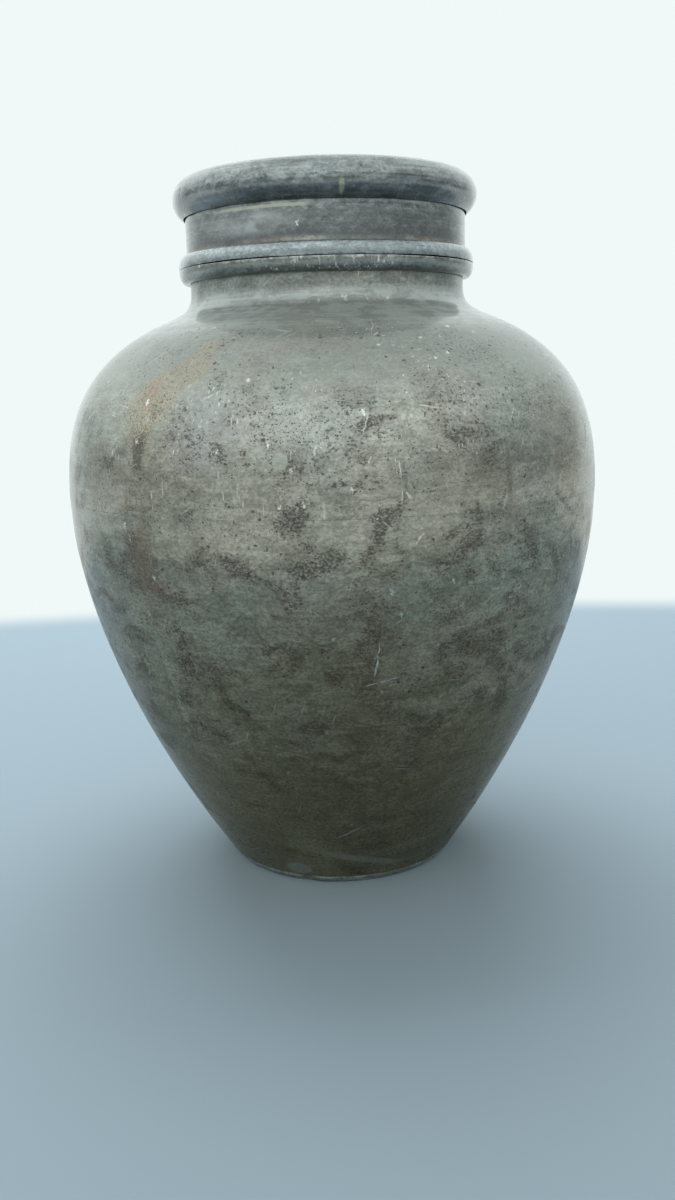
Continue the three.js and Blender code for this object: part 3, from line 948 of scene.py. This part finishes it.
turnedPiece("footPlate", "base_plate", "jar", footTin, wornFoot)
turnedPiece("lowerWall", "lower_body", "jar", body, wornBody, edge=0.15 * mm, facets=360)
turnedPiece("upperWall", "upper_body", "jar", body, wornBody, edge=0.15 * mm, facets=360)
turnedPiece("neckRing", "neck_flange", "jar", flangeTin, wornRing(0.18 * mm, 51, -1), 0.5 * mm)
turnedPiece("collar", "mouth_collar", "jar", innerTin)
turnedPiece("plugDisc", "inner_lid_plate", "inner_lid", innerTin)
turnedPiece("plugSkirt", "inner_lid_skirt", "inner_lid", innerTin)
turnedPiece("plugKnob", "inner_lid_knob", "inner_lid", innerTin, None, 0.4 * mm, 0.2 * mm, 128)
lipWear = wornRing(0.16 * mm, 61, 1)
turnedPiece("capLipRing", "lid_lip_ring", "outer_lid", lipTin, lipWear, 0.4 * mm)
turnedPiece("capBand", "lid_band", "outer_lid", bandTin, wornRing(0.10 * mm, 71), 0.6 * mm)
turnedPiece("capBead", "lid_rim_bead", "outer_lid", beadTin, wornBead, 0.5 * mm)
turnedPiece("capPlate", "lid_top_plate", "outer_lid", plateTin)
print("pieces built")


# Studio: pale floor that fades to white, a white room behind and soft lamps
studio = {
    "floor": (0.46, 0.575, 0.66, 1),
    "floorRough": 0.9,
    "floorHalf": 4.0,
    "floorStretch": 0.5,  # the floor reaches further to the sides than behind
    "fade": (0.360, 0.420),
    "white": (0.871, 0.947, 0.939, 1),
    "ambient": 0.42,
    "sides": 0.18,  # what the metal sees to its right
    "wall": 1.25,  # and behind it, in the rims
    "ahead": 0.40,  # and towards the viewer
    "upward": [0.42, 1.00, 1.42, 1.50, 1.36, 1.10],  # the room from level with the jar to straight above it
    "daylight": 0.56,  # a broad window beyond the viewer's left shoulder
    "daylightFrom": (-0.92, -0.38, 0.10),
    "aim": (0, 0, 0.12),
}


def whiteForMetal(tree):  # 1 for rays that look at or through the object, and 1 for mirror rays
    path = wired(tree, "ShaderNodeLightPath").outputs
    glossy = Flow(path["Is Glossy Ray"])
    return larger(Flow(path["Is Camera Ray"]), glossy, Flow(path["Is Transmission Ray"])), glossy


def makeFloor():
    half = studio["floorHalf"]
    mesh = bpy.data.meshes.new("floor")
    corners = [(-half, -half, 0), (half, -half, 0), (half, half, 0), (-half, half, 0)]
    mesh.from_pydata(corners, [], [(0, 1, 2, 3)])
    floor = addObject("floor", mesh)
    material, shader, where = newMaterial("floorPaper")
    shader.inputs["Roughness"].default_value = studio["floorRough"]
    shader.inputs["Base Color"].default_value = studio["floor"]
    tree = where.tree
    glow = wired(tree, "ShaderNodeEmission")
    glow.inputs["Color"].default_value = studio["white"]
    far = ramp(length(stretch(where, studio["floorStretch"], 1, 1)), *studio["fade"])
    seen, _ = whiteForMetal(tree)
    blend = wired(tree, "ShaderNodeMixShader", enumerate((far * seen, first(shader), first(glow))))
    output = next(n for n in tree.nodes if n.type == "OUTPUT_MATERIAL")
    feed(output.inputs[0], first(blend))
    floor.data.materials.append(material)


def makeWorld():
    # the camera sees plain white; the metal sees a white wall behind it, dark sides and a dim room in front
    world = bpy.data.worlds.new("studio")
    bpy.context.scene.world = world
    world.use_nodes = True
    tree = world.node_tree
    tree.nodes.clear()
    look = Flow(wired(tree, "ShaderNodeTexCoord").outputs["Generated"])
    right, inward, up = split(look)
    behind = ramp(inward, 0.40, 0.86, studio["sides"], studio["wall"])
    ahead = ramp(inward, -0.2, -0.85, 0.0, studio["ahead"])
    items = enumerate((look, studio["daylightFrom"]))
    facing = wired(tree, "ShaderNodeVectorMath", items, operation="DOT_PRODUCT")
    left = ramp(Flow(facing.outputs["Value"]), 0.30, 0.88, 0.0, studio["daylight"])
    above = stops(up, 0.0, 1.0, [(level, level, level, 1) for level in studio["upward"]])
    above = above * ramp(right, 0.25, 1.0, 1.0, 0.68) * ramp(up, -0.12, 0.04)
    seen, glossy = whiteForMetal(tree)
    room = ramp(glossy, 0.0, 1.0, 1.0, larger(behind, ahead, above, left))
    background = wired(tree, "ShaderNodeBackground")
    background.inputs["Color"].default_value = studio["white"]
    feed(background.inputs["Strength"], ramp(seen, 0.0, 1.0, studio["ambient"], room))
    wired(tree, "ShaderNodeOutputWorld", [(0, first(background))])


def softLamp(name, spot, size, power, colour=(1, 1, 1)):
    lamp = bpy.data.lights.new(name, "AREA")
    lamp.shape = "SQUARE"
    lamp.size = size
    lamp.energy = power
    lamp.color = colour
    holder = addObject(name, lamp)
    holder.visible_glossy = False  # the metal mirrors the studio's plain walls only
    holder.location = spot
    holder.rotation_euler = (Vector(studio["aim"]) - Vector(spot)).to_track_quat("-Z", "Y").to_euler()


makeFloor()
makeWorld()
softLamp("overhead", (-0.10, 0.60, 1.05), 1.2, 10.5, (0.95, 0.98, 1.0))
softLamp("window", (-0.45, -1.0, 0.62), 1.6, 3.0)
print("studio built")

bpy.context.scene.view_settings.view_transform = "Standard"
